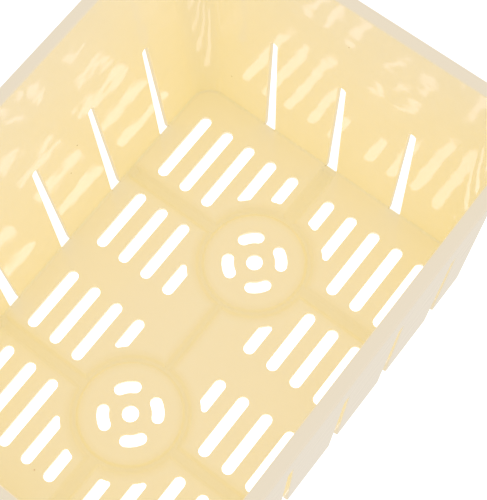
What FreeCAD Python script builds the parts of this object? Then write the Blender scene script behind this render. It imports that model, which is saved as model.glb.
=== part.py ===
"""Open rectangular bee-excluder tray: slotted floor, slotted walls, vent discs and a flanged rim.

The tray is one plastic moulding.  Each region of it is a solid of its own here, and
neighbouring solids meet face to face.

Frame: X runs along the length, Y across the width, +Z is up.  The origin is the middle of
the underside.  All sizes are in millimetres.
"""
import FreeCAD
import Part
import Sketcher
import math
import os

V = FreeCAD.Vector

# ---------------------------------------------------------------- driving dimensions
DIMENSIONS = {
    # floor
    "floor_length": 161.0,       # inside length at floor level
    "floor_width": 116.5,        # inside width at floor level
    "floor_thickness": 2.0,
    "corner_radius": 8.0,        # inside vertical corners at floor level
    # slots in the floor, which run along X in rows one pitch apart
    "slot_pitch": 10.0,
    "slot_width": 4.2,           # passes a worker bee, stops a queen
    "first_row": 8.05,           # first row to the tray's centre line
    "centre_slot_start": 6.3,    # slots between the discs, from the tray's middle
    "centre_slot_end": 31.5,
    "corner_slot_start": 41.1,   # slots outside the discs
    "corner_slot_end": 69.8,
    # vent discs
    "disc_offset": 34.7,         # disc centre to the tray's middle, along X
    "disc_radius": 17.5,
    "disc_hole_radius": 2.9,
    "arc_slot_radius": 9.5,      # middle line of the curved slots
    "arc_slot_half_angle": 16.0,
    "ring_radius": 21.5,         # outside of the gutter around a disc
    "collar_radius": 24.2,       # plain floor left around that gutter
    # gutters pressed down into the floor
    "gutter_depth": 0.8,
    "centre_gutter_width": 4.5,
    "end_gutter_width": 7.0,
    "cross_gutter_width": 6.4,
    "cross_gutter_offset": 36.0,
    # walls
    "tray_depth": 102.0,         # top of the floor to top of the rim
    "wall_thickness": 2.0,
    "wall_slope": 0.049,         # outward lean, per unit of height
    "toe_radius": 1.0,           # fillet between floor and wall
    "heel_radius": 1.0,          # rounding of the outside bottom edge
    # slots in the walls, wide at the floor and narrow at the top
    "wall_slot_height": 56.5,
    "wall_slot_foot": 4.6,
    "wall_slot_top_radius": 1.35,
    "wall_slot_pitch": 28.0,
    # rim
    "rim_width": 4.4,
    "rim_thickness": 2.0,
    "rim_edge_radius": 0.8,
}
TOLERANCE = 1e-4             # mm, for finding edges by place
SMALLEST_CUT = 1e-6          # mm3, less than this is no cut
LONG_WALL_SLOTS = 5
END_WALL_SLOTS = 3
CORNER_ROWS = 5
CENTRE_ROWS = 4
ARC_SLOTS = 4

doc = FreeCAD.newDocument("excluder_tray")
sheet = doc.addObject("Spreadsheet::Sheet", "dims")
for row, (alias, number) in enumerate(DIMENSIONS.items(), start=1):
    sheet.set(f"A{row}", alias)
    sheet.set(f"B{row}", str(number))
    sheet.setAlias(f"B{row}", alias)
doc.recompute()

# Heights and reaches that several parts share, as formulas over the sheet.
HALF_LENGTH = "dims.floor_length / 2"
HALF_WIDTH = "dims.floor_width / 2"
FLOOR_TOP = "(dims.gutter_depth + dims.floor_thickness)"
RIM_TOP = f"({FLOOR_TOP} + dims.tray_depth)"
RIM_UNDERSIDE = f"({RIM_TOP} - dims.rim_thickness)"
LONG_WALL_RUN = "dims.floor_length - 2 * dims.corner_radius"
END_WALL_RUN = "dims.floor_width - 2 * dims.corner_radius"


def value(formula):
    """Number that a formula over the sheet gives now."""
    return float(sheet.evalExpression(formula))


# ---------------------------------------------------------------- sketch helpers
def new_body(name, label=None):
    body = doc.addObject("PartDesign::Body", name)
    body.Label = label or name
    return body


def origin_feature(body, role):
    return next(f for f in body.Origin.OriginFeatures if f.Role == role)


def new_sketch(body, name, plane="XY_Plane"):
    sketch = body.newObject("Sketcher::SketchObject", name)
    sketch.AttachmentSupport = [(origin_feature(body, plane), "")]
    sketch.MapMode = "FlatFace"
    return sketch


def bind(sketch, constraint, formula):
    """Add a constraint and tie its size to the sheet."""
    index = sketch.addConstraint(constraint)
    sketch.setExpression(f"Constraints[{index}]", formula)


def pin(sketch, geometry, point, x, y):
    """Hold one point of a sketch at two formulas, measured from the origin."""
    bind(sketch, Sketcher.Constraint("DistanceX", -1, 1, geometry, point, value(x)), x)
    bind(sketch, Sketcher.Constraint("DistanceY", -1, 1, geometry, point, value(y)), y)


def add_line(sketch, start, end):
    return sketch.addGeometry(Part.LineSegment(V(*start, 0), V(*end, 0)), False)


def add_arc(sketch, centre, radius, start, end):
    """Arc from one point to another, turning anticlockwise about centre."""
    circle = Part.Circle(V(*centre, 0), V(0, 0, 1), radius)
    first = circle.parameter(V(*start, 0))
    last = circle.parameter(V(*end, 0))
    return sketch.addGeometry(Part.ArcOfCircle(circle, first, last), False)


def outline(sketch, corners):
    """Closed polygon with every corner held by two formulas."""
    points = [(value(x), value(y)) for x, y in corners]
    lines = [add_line(sketch, p, q) for p, q in zip(points, points[1:] + points[:1])]
    for line, following in zip(lines, lines[1:] + lines[:1]):
        sketch.addConstraint(Sketcher.Constraint("Coincident", line, 2, following, 1))
    for line, (x, y) in zip(lines, corners):
        pin(sketch, line, 1, x, y)


def rectangle(sketch, low_x, low_y, high_x, high_y):
    outline(sketch, [(low_x, low_y), (high_x, low_y), (high_x, high_y), (low_x, high_y)])


def circle(sketch, x, y, radius):
    ring = sketch.addGeometry(Part.Circle(V(value(x), value(y), 0), V(0, 0, 1), value(radius)), False)
    pin(sketch, ring, 3, x, y)
    bind(sketch, Sketcher.Constraint("Radius", ring, value(radius)), radius)


def straight_slot(sketch, low_x, high_x, y):
    """Slot along X with round ends, one slot width wide."""
    radius = "dims.slot_width / 2"
    left = f"({low_x}) + {radius}"
    right = f"({high_x}) - {radius}"
    x0, x1, yc, size = value(left), value(right), value(y), value(radius)
    left_end = add_arc(sketch, (x0, yc), size, (x0, yc + size), (x0, yc - size))
    lower = add_line(sketch, (x0, yc - size), (x1, yc - size))
    right_end = add_arc(sketch, (x1, yc), size, (x1, yc - size), (x1, yc + size))
    upper = add_line(sketch, (x1, yc + size), (x0, yc + size))
    sketch.addConstraint(Sketcher.Constraint("Tangent", left_end, 2, lower, 1))
    sketch.addConstraint(Sketcher.Constraint("Tangent", lower, 2, right_end, 1))
    sketch.addConstraint(Sketcher.Constraint("Tangent", right_end, 2, upper, 1))
    sketch.addConstraint(Sketcher.Constraint("Tangent", upper, 2, left_end, 1))
    sketch.addConstraint(Sketcher.Constraint("Equal", left_end, right_end))
    bind(sketch, Sketcher.Constraint("Radius", left_end, size), radius)
    pin(sketch, left_end, 3, left, y)
    pin(sketch, right_end, 3, right, y)


# ---------------------------------------------------------------- feature helpers
def pad(body, sketch, length, name, symmetric=False):
    feature = body.newObject("PartDesign::Pad", name)
    feature.Profile = sketch
    feature.Length = value(length)
    feature.setExpression("Length", length)
    if symmetric:
        feature.SideType = "Symmetric"
    doc.recompute()
    return feature


def cut_through(body, sketch, name):
    """Pocket right through the body, both ways from the sketch."""
    before = body.Shape.Volume
    feature = body.newObject("PartDesign::Pocket", name)
    feature.Profile = sketch
    feature.Type = "ThroughAll"
    feature.SideType = "Symmetric"
    doc.recompute()
    if body.Shape.Volume > before - SMALLEST_CUT:
        raise RuntimeError(f"{body.Label}: {name} cut nothing")
    return feature


def repeat_along(body, feature, axis, spacing, count):
    """Linear pattern with count members, spacing apart."""
    pattern = body.newObject("PartDesign::LinearPattern", f"{feature.Name}_row")
    pattern.Originals = [feature]
    pattern.Direction = (origin_feature(body, axis), [""])
    pattern.Length = value(spacing) * (count - 1)
    pattern.setExpression("Length", f"{spacing} * {count - 1}")
    pattern.Occurrences = count
    body.Tip = pattern
    doc.recompute()
    return pattern


def round_edges(body, feature, chosen, radius, name):
    """Fillet the edges of feature for which chosen(edge) is true."""
    names = [f"Edge{i}" for i, edge in enumerate(feature.Shape.Edges, start=1) if chosen(edge)]
    if not names:
        raise RuntimeError(f"{body.Label}: {name} found no edge")
    fillet = body.newObject("PartDesign::Fillet", name)
    fillet.Base = (feature, names)
    fillet.Radius = value(radius)
    fillet.setExpression("Radius", radius)
    doc.recompute()
    return fillet


def bound_placement(thing, **formulas):
    """Tie the named coordinates of an object's position to the sheet."""
    for coordinate, formula in formulas.items():
        thing.setExpression(f"Placement.Base.{coordinate}", formula)


nodes = []


def keep(thing):
    nodes.append(thing)
    return thing


def mirrored(source, label, normal):
    """Mirror image of a part in a plane through the tray's middle."""
    copy = doc.addObject("Part::Mirroring", label)
    copy.Label = label
    copy.Source = source
    copy.Base = V(0, 0, 0)
    copy.Normal = V(*normal)
    return keep(copy)


ACROSS_X = (1, 0, 0)
ACROSS_Y = (0, 1, 0)


def left_copy(source, label):
    return mirrored(source, label, ACROSS_X)


def front_copy(source, label):
    return mirrored(source, label, ACROSS_Y)


def four_corners(source, stem):
    """Name a back right part and add its three mirror images."""
    source.Label = f"{stem}_back_right"
    keep(source)
    left_copy(source, f"{stem}_back_left")
    front = front_copy(source, f"{stem}_front_right")
    left_copy(front, f"{stem}_front_left")


# ---------------------------------------------------------------- floor
CROSS_LOW = "dims.cross_gutter_offset - dims.cross_gutter_width / 2"
CROSS_HIGH = "dims.cross_gutter_offset + dims.cross_gutter_width / 2"


def collar(body, edge_x, edge_y, side, name):
    """Plain floor around a ring gutter, over the ends of the slots that run into it.

    It fills the corner between the lines x = edge_x and y = edge_y, on the given side
    of the disc: +1 away from the tray's middle, -1 towards it.
    """
    radius = "dims.collar_radius"
    reach = f"sqrt({radius}^2 - ({edge_y})^2)"
    far_x = f"dims.disc_offset + {side} * {reach}"
    far_y = f"sqrt({radius}^2 - ({edge_x} - dims.disc_offset)^2)"
    corner = (value(edge_x), value(edge_y))
    on_side = (value(far_x), value(edge_y))
    on_top = (value(edge_x), value(far_y))
    sketch = new_sketch(body, f"{name}_outline")
    along = add_line(sketch, corner, on_side)
    if side > 0:
        arc = add_arc(sketch, (value("dims.disc_offset"), 0), value(radius), on_side, on_top)
        side_end, top_end = 1, 2
    else:
        arc = add_arc(sketch, (value("dims.disc_offset"), 0), value(radius), on_top, on_side)
        side_end, top_end = 2, 1
    up = add_line(sketch, on_top, corner)
    sketch.addConstraint(Sketcher.Constraint("Coincident", along, 2, arc, side_end))
    sketch.addConstraint(Sketcher.Constraint("Coincident", arc, top_end, up, 1))
    sketch.addConstraint(Sketcher.Constraint("Coincident", up, 2, along, 1))
    sketch.addConstraint(Sketcher.Constraint("Horizontal", along))
    sketch.addConstraint(Sketcher.Constraint("Vertical", up))
    pin(sketch, along, 1, edge_x, edge_y)
    pin(sketch, arc, 3, "dims.disc_offset", "0")
    bind(sketch, Sketcher.Constraint("Radius", arc, value(radius)), radius)
    return pad(body, sketch, "dims.floor_thickness", name)


def ring_clearance(body, sides=(1,)):
    """Cut away what lies inside the ring gutters' outer edge."""
    sketch = new_sketch(body, f"{body.Name}_ring_outline")
    for side in sides:
        circle(sketch, f"{side} * dims.disc_offset", "0", "dims.ring_radius")
    return cut_through(body, sketch, f"{body.Name}_ring_cut")


def corner_grille():
    """Slotted panel between an end wall, a long wall, a ring gutter and two gutters."""
    body = new_body("corner_grille")
    edge_y = "dims.end_gutter_width / 2"
    plate_sketch = new_sketch(body, "corner_grille_outline")
    rectangle(plate_sketch, CROSS_HIGH, edge_y, HALF_LENGTH, HALF_WIDTH)
    plate = pad(body, plate_sketch, "dims.floor_thickness", "corner_grille_plate")

    corner = (value(HALF_LENGTH), value(HALF_WIDTH))

    def outer_corner(edge):
        return math.dist((edge.CenterOfMass.x, edge.CenterOfMass.y), corner) < TOLERANCE

    round_edges(body, plate, outer_corner, "dims.corner_radius", "corner_grille_corner")
    slot_sketch = new_sketch(body, "corner_grille_slot_outline")
    straight_slot(slot_sketch, "dims.corner_slot_start", "dims.corner_slot_end", "dims.first_row")
    slot = cut_through(body, slot_sketch, "corner_grille_slot")
    repeat_along(body, slot, "Y_Axis", "dims.slot_pitch", CORNER_ROWS)
    collar(body, CROSS_HIGH, edge_y, 1, "corner_grille_collar")
    ring_clearance(body)
    bound_placement(body, z="dims.gutter_depth")
    four_corners(body, "floor_grille")


def centre_grille():
    """Slotted panel between the cross gutters, with a plain band at the tray's middle."""
    body = new_body("centre_grille", "floor_grille_back_centre")
    edge_y = "dims.centre_gutter_width / 2"
    second_row = "dims.first_row + dims.slot_pitch"
    plate_sketch = new_sketch(body, "centre_grille_outline")
    rectangle(plate_sketch, f"-({CROSS_LOW})", edge_y, CROSS_LOW, HALF_WIDTH)
    pad(body, plate_sketch, "dims.floor_thickness", "centre_grille_plate")
    slot_sketch = new_sketch(body, "centre_grille_slot_outline")
    straight_slot(slot_sketch, "dims.centre_slot_start", "dims.centre_slot_end", second_row)
    straight_slot(slot_sketch, "-dims.centre_slot_end", "-dims.centre_slot_start", second_row)
    slot = cut_through(body, slot_sketch, "centre_grille_slot")
    repeat_along(body, slot, "Y_Axis", "dims.slot_pitch", CENTRE_ROWS)
    right = collar(body, CROSS_LOW, edge_y, -1, "centre_grille_collar")
    left = body.newObject("PartDesign::Mirrored", "centre_grille_left_collar")
    left.Originals = [right]
    left.MirrorPlane = (origin_feature(body, "YZ_Plane"), [""])
    body.Tip = left
    doc.recompute()
    ring_clearance(body, (1, -1))
    bound_placement(body, z="dims.gutter_depth")
    keep(body)
    front_copy(body, "floor_grille_front_centre")


def vent_disc():
    """Round disc with a middle hole and curved slots on its diagonals."""
    body = new_body("vent_disc", "vent_disc_right")
    plate_sketch = new_sketch(body, "vent_disc_outline")
    circle(plate_sketch, "0", "0", "dims.disc_radius")
    circle(plate_sketch, "0", "0", "dims.disc_hole_radius")
    pad(body, plate_sketch, "dims.floor_thickness", "vent_disc_plate")
    slot_sketch = new_sketch(body, "vent_disc_slot_outline")
    curved_slot(slot_sketch)
    slot = cut_through(body, slot_sketch, "vent_disc_slot")
    pattern = body.newObject("PartDesign::PolarPattern", "vent_disc_slots")
    pattern.Originals = [slot]
    pattern.Axis = (origin_feature(body, "Z_Axis"), [""])
    pattern.Angle = 360
    pattern.Occurrences = ARC_SLOTS
    body.Tip = pattern
    bound_placement(body, x="dims.disc_offset", z="dims.gutter_depth")
    keep(body)
    left_copy(body, "vent_disc_left")


def curved_slot(sketch):
    """Round-ended slot that follows a circle about the origin, centred on a diagonal."""
    middle = "dims.arc_slot_radius"
    half = "dims.slot_width / 2"
    radius = value(middle)
    width = value(half)
    ends = []
    for sign in (-1, 1):
        angle = f"(45 deg + {sign} * dims.arc_slot_half_angle * 1 deg)"
        ends.append((f"{middle} * cos{angle}", f"{middle} * sin{angle}"))

    def on_end(end, distance):
        x, y = value(ends[end][0]), value(ends[end][1])
        return (x * distance / radius, y * distance / radius)

    start = (value(ends[0][0]), value(ends[0][1]))
    finish = (value(ends[1][0]), value(ends[1][1]))
    outer = add_arc(sketch, (0, 0), radius + width, on_end(0, radius + width), on_end(1, radius + width))
    last = add_arc(sketch, finish, width, on_end(1, radius + width), on_end(1, radius - width))
    inner = add_arc(sketch, (0, 0), radius - width, on_end(0, radius - width), on_end(1, radius - width))
    first = add_arc(sketch, start, width, on_end(0, radius - width), on_end(0, radius + width))
    sketch.addConstraint(Sketcher.Constraint("Tangent", outer, 2, last, 1))
    sketch.addConstraint(Sketcher.Constraint("Tangent", last, 2, inner, 2))
    sketch.addConstraint(Sketcher.Constraint("Tangent", inner, 1, first, 1))
    sketch.addConstraint(Sketcher.Constraint("Tangent", first, 2, outer, 1))
    pin(sketch, first, 3, *ends[0])
    pin(sketch, last, 3, *ends[1])
    bind(sketch, Sketcher.Constraint("Radius", first, width), half)
    sketch.addConstraint(Sketcher.Constraint("Coincident", outer, 3, -1, 1))
    sketch.addConstraint(Sketcher.Constraint("PointOnObject", inner, 3, -1))


def ring_gutter():
    """Gutter around a vent disc."""
    body = new_body("ring_gutter", "ring_gutter_right")
    sketch = new_sketch(body, "ring_gutter_outline")
    circle(sketch, "0", "0", "dims.ring_radius")
    circle(sketch, "0", "0", "dims.disc_radius")
    pad(body, sketch, "dims.floor_thickness", "ring_gutter_band")
    bound_placement(body, x="dims.disc_offset")
    keep(body)
    left_copy(body, "ring_gutter_left")


def centre_gutter():
    """Gutter between the two ring gutters."""
    body = new_body("centre_gutter")
    sketch = new_sketch(body, "centre_gutter_outline")
    half = "dims.centre_gutter_width / 2"
    rectangle(sketch, "-dims.disc_offset", f"-{half}", "dims.disc_offset", half)
    pad(body, sketch, "dims.floor_thickness", "centre_gutter_band")
    ring_clearance(body, (1, -1))
    keep(body)


def end_gutter():
    """Gutter from a ring gutter to an end wall, closed at the wall's toe."""
    body = new_body("end_gutter", "end_gutter_right")
    half = "dims.end_gutter_width / 2"
    toe = f"{HALF_LENGTH} - dims.toe_radius"
    sketch = new_sketch(body, "end_gutter_outline")
    rectangle(sketch, "dims.disc_offset", f"-{half}", HALF_LENGTH, half)
    pad(body, sketch, "dims.floor_thickness", "end_gutter_band")
    stop_sketch = new_sketch(body, "end_gutter_stop_outline")
    rectangle(stop_sketch, toe, f"-{half}", HALF_LENGTH, half)
    pad(body, stop_sketch, FLOOR_TOP, "end_gutter_stop")
    ring_clearance(body)
    keep(body)
    left_copy(body, "end_gutter_left")


def cross_gutter():
    """Gutter from a ring gutter to a long wall, closed at the wall's toe."""
    body = new_body("cross_gutter")
    toe = f"{HALF_WIDTH} - dims.toe_radius"
    sketch = new_sketch(body, "cross_gutter_outline")
    rectangle(sketch, CROSS_LOW, "0", CROSS_HIGH, HALF_WIDTH)
    pad(body, sketch, "dims.floor_thickness", "cross_gutter_band")
    stop_sketch = new_sketch(body, "cross_gutter_stop_outline")
    rectangle(stop_sketch, CROSS_LOW, toe, CROSS_HIGH, HALF_WIDTH)
    pad(body, stop_sketch, FLOOR_TOP, "cross_gutter_stop")
    ring_clearance(body)
    four_corners(body, "cross_gutter")


# ---------------------------------------------------------------- walls
def wall_corners(reach):
    """Corners of a wall's section whose inside foot stands at the formula reach."""
    lean = f"dims.wall_slope * ({RIM_UNDERSIDE} - {FLOOR_TOP})"
    heel = f"{reach} + dims.wall_thickness - dims.wall_slope * dims.floor_thickness"
    return {
        "foot": (reach, "dims.gutter_depth"),
        "heel": (heel, "dims.gutter_depth"),
        "outer_top": (f"{reach} + dims.wall_thickness + {lean}", RIM_UNDERSIDE),
        "inner_top": (f"{reach} + {lean}", RIM_UNDERSIDE),
        "floor_edge": (reach, FLOOR_TOP),
    }


def wall_section(body, plane, reach):
    """Upright section of a wall.

    The inside face is upright beside the floor and leans outward above it, with a toe
    fillet between the two.
    """
    corners = wall_corners(reach)
    at = {name: (value(x), value(y)) for name, (x, y) in corners.items()}
    radius = value("dims.toe_radius")
    slope = value("dims.wall_slope")
    stretch = (1 + slope ** 2) ** 0.5
    centre = (at["floor_edge"][0] + radius * (slope - stretch), at["floor_edge"][1] + radius)
    on_wall = (centre[0] + radius / stretch, centre[1] - radius * slope / stretch)
    on_floor = (centre[0], at["floor_edge"][1])

    sketch = new_sketch(body, f"{body.Name}_section", plane)
    bottom = add_line(sketch, at["foot"], at["heel"])
    outside = add_line(sketch, at["heel"], at["outer_top"])
    top = add_line(sketch, at["outer_top"], at["inner_top"])
    inside = add_line(sketch, at["inner_top"], on_wall)
    toe = add_arc(sketch, centre, radius, on_floor, on_wall)
    ledge = add_line(sketch, on_floor, at["floor_edge"])
    edge = add_line(sketch, at["floor_edge"], at["foot"])
    for first, second in ((bottom, outside), (outside, top), (top, inside), (ledge, edge), (edge, bottom)):
        sketch.addConstraint(Sketcher.Constraint("Coincident", first, 2, second, 1))
    sketch.addConstraint(Sketcher.Constraint("Tangent", inside, 2, toe, 2))
    sketch.addConstraint(Sketcher.Constraint("Tangent", toe, 1, ledge, 1))
    sketch.addConstraint(Sketcher.Constraint("Parallel", inside, outside))
    sketch.addConstraint(Sketcher.Constraint("Horizontal", ledge))
    bind(sketch, Sketcher.Constraint("Radius", toe, radius), "dims.toe_radius")
    for line, name in ((bottom, "foot"), (outside, "heel"), (top, "outer_top"), (inside, "inner_top"),
                       (edge, "floor_edge")):
        pin(sketch, line, 1, *corners[name])
    return sketch


def rim_corners(reach):
    """Corners of the rim's section: a flat lip that stands out past the wall."""
    low_lean = f"dims.wall_slope * ({RIM_UNDERSIDE} - {FLOOR_TOP})"
    high_lean = "dims.wall_slope * dims.tray_depth"
    lip = f"{reach} + {high_lean} + dims.rim_width"
    return {
        "inner_low": (f"{reach} + {low_lean}", RIM_UNDERSIDE),
        "lip_low": (lip, RIM_UNDERSIDE),
        "lip_high": (lip, RIM_TOP),
        "inner_high": (f"{reach} + {high_lean}", RIM_TOP),
    }


def rim_section(body, plane, reach):
    sketch = new_sketch(body, f"{body.Name}_section", plane)
    outline(sketch, list(rim_corners(reach).values()))
    return sketch


def along_y(point):
    return point.y


def along_x(point):
    return point.x


def from_axis(point):
    return math.hypot(point.x, point.y)


def swept_edges(corners, names, outward):
    """Test for the edges that the named corners of a section sweep out.

    outward(point) measures how far a point is from the section's own upright axis.
    """
    targets = [(value(corners[name][0]), value(corners[name][1])) for name in names]

    def chosen(edge):
        ends = [(outward(vertex.Point), vertex.Z) for vertex in edge.Vertexes]
        return any(all(math.dist(end, target) < TOLERANCE for end in ends) for target in targets)

    return chosen


def tapered_slot(sketch, x):
    """Wall slot, open below the wall's foot and round at the top."""
    half_foot = "dims.wall_slot_foot / 2"
    top_radius = "dims.wall_slot_top_radius"
    centre_z = f"{FLOOR_TOP} + dims.wall_slot_height - {top_radius}"
    x0, foot, radius = value(x), value(half_foot), value(top_radius)
    zc = value(centre_z)
    left = add_line(sketch, (x0 - foot, 0), (x0 - radius, zc))
    cap = add_arc(sketch, (x0, zc), radius, (x0 + radius, zc), (x0 - radius, zc))
    right = add_line(sketch, (x0 + radius, zc), (x0 + foot, 0))
    base = add_line(sketch, (x0 + foot, 0), (x0 - foot, 0))
    sketch.addConstraint(Sketcher.Constraint("Tangent", left, 2, cap, 2))
    sketch.addConstraint(Sketcher.Constraint("Tangent", cap, 1, right, 1))
    sketch.addConstraint(Sketcher.Constraint("Coincident", right, 2, base, 1))
    sketch.addConstraint(Sketcher.Constraint("Coincident", base, 2, left, 1))
    pin(sketch, base, 1, f"{x} + {half_foot}", "0")
    pin(sketch, left, 1, f"{x} - {half_foot}", "0")
    pin(sketch, cap, 3, x, centre_z)
    bind(sketch, Sketcher.Constraint("Radius", cap, radius), top_radius)


def slotted_wall(name, label, section_plane, outward, reach, run, slot_plane, slot_axis, slots):
    """Straight wall with a row of tapered slots that start at the floor."""
    body = new_body(name, label)
    wall = pad(body, wall_section(body, section_plane, reach), run, f"{name}_slab", symmetric=True)
    heel = swept_edges(wall_corners(reach), ["heel"], outward)
    round_edges(body, wall, heel, "dims.heel_radius", f"{name}_heel")
    slot_sketch = new_sketch(body, f"{name}_slot_outline", slot_plane)
    tapered_slot(slot_sketch, f"-dims.wall_slot_pitch * {(slots - 1) // 2}")
    slot = cut_through(body, slot_sketch, f"{name}_slot")
    repeat_along(body, slot, slot_axis, "dims.wall_slot_pitch", slots)
    return keep(body)


def walls():
    back = slotted_wall("long_wall", "long_wall_back", "YZ_Plane", along_y, HALF_WIDTH,
                        LONG_WALL_RUN, "XZ_Plane", "X_Axis", LONG_WALL_SLOTS)
    front_copy(back, "long_wall_front")
    right = slotted_wall("end_wall", "end_wall_right", "XZ_Plane", along_x, HALF_LENGTH,
                         END_WALL_RUN, "YZ_Plane", "Y_Axis", END_WALL_SLOTS)
    left_copy(right, "end_wall_left")


def quarter_turn(body, sketch, name):
    """Revolve a section from the XZ plane to the YZ plane, about the body's Z axis."""
    turn = body.newObject("PartDesign::Revolution", name)
    turn.Profile = sketch
    turn.ReferenceAxis = (origin_feature(body, "Z_Axis"), [""])
    turn.Angle = 90
    doc.recompute()
    if turn.Shape.CenterOfGravity.y < 0:
        turn.Reversed = True
        doc.recompute()
    return turn


def place_at_corner(body):
    bound_placement(body, x=f"{HALF_LENGTH} - dims.corner_radius", y=f"{HALF_WIDTH} - dims.corner_radius")


def corner_post():
    """Rounded upright corner between a long wall and an end wall."""
    body = new_body("corner_post")
    reach = "dims.corner_radius"
    post = quarter_turn(body, wall_section(body, "XZ_Plane", reach), "corner_post_turn")
    heel = swept_edges(wall_corners(reach), ["heel"], from_axis)
    round_edges(body, post, heel, "dims.heel_radius", "corner_post_heel")
    place_at_corner(body)
    four_corners(body, "corner_post")


# ---------------------------------------------------------------- rim
def rounded_rim(body, band, reach, outward):
    """Round the rim's three exposed edges."""
    edges = swept_edges(rim_corners(reach), ["lip_low", "lip_high", "inner_high"], outward)
    round_edges(body, band, edges, "dims.rim_edge_radius", f"{body.Name}_edges")
    return body


def straight_rim(name, label, plane, outward, reach, run):
    body = new_body(name, label)
    band = pad(body, rim_section(body, plane, reach), run, f"{name}_band", symmetric=True)
    return keep(rounded_rim(body, band, reach, outward))


def rims():
    back = straight_rim("long_rim", "long_rim_back", "YZ_Plane", along_y, HALF_WIDTH, LONG_WALL_RUN)
    front_copy(back, "long_rim_front")
    right = straight_rim("end_rim", "end_rim_right", "XZ_Plane", along_x, HALF_LENGTH, END_WALL_RUN)
    left_copy(right, "end_rim_left")

    corner = new_body("corner_rim")
    reach = "dims.corner_radius"
    band = quarter_turn(corner, rim_section(corner, "XZ_Plane", reach), "corner_rim_turn")
    rounded_rim(corner, band, reach, from_axis)
    place_at_corner(corner)
    four_corners(corner, "corner_rim")


# ---------------------------------------------------------------- build, check and write
corner_grille()
centre_grille()
vent_disc()
ring_gutter()
centre_gutter()
end_gutter()
cross_gutter()
walls()
corner_post()
rims()
doc.recompute()

for thing in doc.Objects:
    if "Invalid" in thing.State or "Error" in thing.State:
        raise RuntimeError(f"{thing.Name} failed: {thing.State}")
for node in nodes:
    shape = node.Shape
    if shape.isNull() or not shape.isValid() or len(shape.Solids) != 1:
        raise RuntimeError(f"{node.Label} is not one valid solid")

os.makedirs("parts", exist_ok=True)
for node in nodes:
    node.Shape.exportStep(f"parts/{node.Label}.step")
print(len(nodes), "parts written")
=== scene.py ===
"""Looks of the slotted bee excluder tray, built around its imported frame.

Each region of the moulding is rebuilt as a closed piece with rounded slot edges and soft
gutters, and takes the place of the CAD node that it is named after. Neighbours share
their seam lines and surface directions, so the tray looks like the one moulding it is.
Lengths are in millimetres until a piece is written.
"""

import math

import bmesh
import bpy
import numpy as np
from mathutils import Matrix, Vector
from mathutils.geometry import delaunay_2d_cdt


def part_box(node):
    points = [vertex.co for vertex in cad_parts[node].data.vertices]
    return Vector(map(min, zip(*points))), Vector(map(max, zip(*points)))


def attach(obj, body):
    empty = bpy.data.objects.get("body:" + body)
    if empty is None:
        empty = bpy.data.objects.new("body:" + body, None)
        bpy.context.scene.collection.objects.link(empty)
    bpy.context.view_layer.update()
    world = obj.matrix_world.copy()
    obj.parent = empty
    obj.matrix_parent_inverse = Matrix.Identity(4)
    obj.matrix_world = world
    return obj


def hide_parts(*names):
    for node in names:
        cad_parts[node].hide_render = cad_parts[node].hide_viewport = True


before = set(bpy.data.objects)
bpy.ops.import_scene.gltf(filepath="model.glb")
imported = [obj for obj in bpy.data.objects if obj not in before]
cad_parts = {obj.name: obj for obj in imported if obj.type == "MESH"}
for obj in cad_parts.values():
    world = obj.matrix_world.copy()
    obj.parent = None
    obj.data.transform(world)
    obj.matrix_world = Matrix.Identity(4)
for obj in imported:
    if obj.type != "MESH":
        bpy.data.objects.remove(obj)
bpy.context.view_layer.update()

MM = 0.001


def box(node):
    low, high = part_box(node)
    return np.array(low) / MM, np.array(high) / MM


# ---------------------------------------------------------------- sizes read from the frame
corner_low, corner_high = box("floor_grille_back_right")
centre_low, centre_high = box("floor_grille_back_centre")
disc_low, disc_high = box("vent_disc_right")
ring_low, ring_high = box("ring_gutter_right")
wall_low, wall_high = box("long_wall_back")
_, end_high = box("end_wall_right")
_, rim_high = box("long_rim_back")

HALF_LENGTH, HALF_WIDTH, FLOOR_TOP = corner_high
FLOOR_THICKNESS = FLOOR_TOP - corner_low[2]
CROSS_HIGH, END_HALF = corner_low[:2]
CROSS_LOW, CENTRE_HALF = centre_high[0], centre_low[1]
DISC_X = (disc_low[0] + disc_high[0]) / 2
DISC_RADIUS = (disc_high[0] - disc_low[0]) / 2
RING_RADIUS = (ring_high[0] - ring_low[0]) / 2
GUTTER_DEPTH = FLOOR_TOP - ring_high[2]
LONG_RUN = wall_high[0]
END_RUN = end_high[1]
CORNER_RADIUS = HALF_LENGTH - LONG_RUN
WALL_FOOT, WALL_TOP = wall_low[2], wall_high[2]
RIM_TOP = rim_high[2]
LIP = rim_high[1] - HALF_WIDTH

# ---------------------------------------------------------------- sizes the boxes don't give
SLOPE = 0.049
WALL = 2.0
TOE = 1.0
HEEL = 1.0
SLOT_HALF = 2.1
ROW_PITCH = 10.0
FIRST_ROW = 8.05
CORNER_ROWS = 5
CENTRE_ROWS = 4
CORNER_SLOT = (41.1, 69.8)
CENTRE_SLOT = (6.3, 31.5)
COLLAR_RADIUS = 24.2
CLIP_ROUNDING = 1.1
ARC_SLOT_RADIUS = 9.5
ARC_SLOT_HALF_ANGLE = math.radians(16)
DISC_HOLE = 2.9
WALL_SLOT_FOOT = 2.3
WALL_SLOT_TOP = 1.35
WALL_SLOT_HEIGHT = 56.5
WALL_SLOT_PITCH = 28.0
LONG_WALL_SLOTS = 5
END_WALL_SLOTS = 3
RIM_EDGE = 0.8
INNER_FLANK = 1.5        # gutter side next to a disc
OUTER_FLANK = 2.2        # every other gutter side
STRETCH = math.hypot(1, SLOPE)
TOE_GAP = TOE * (STRETCH - SLOPE)    # from the toe fillet's start to the floor's edge
EDGE_RADIUS = 0.35       # rounding along every slot

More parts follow.
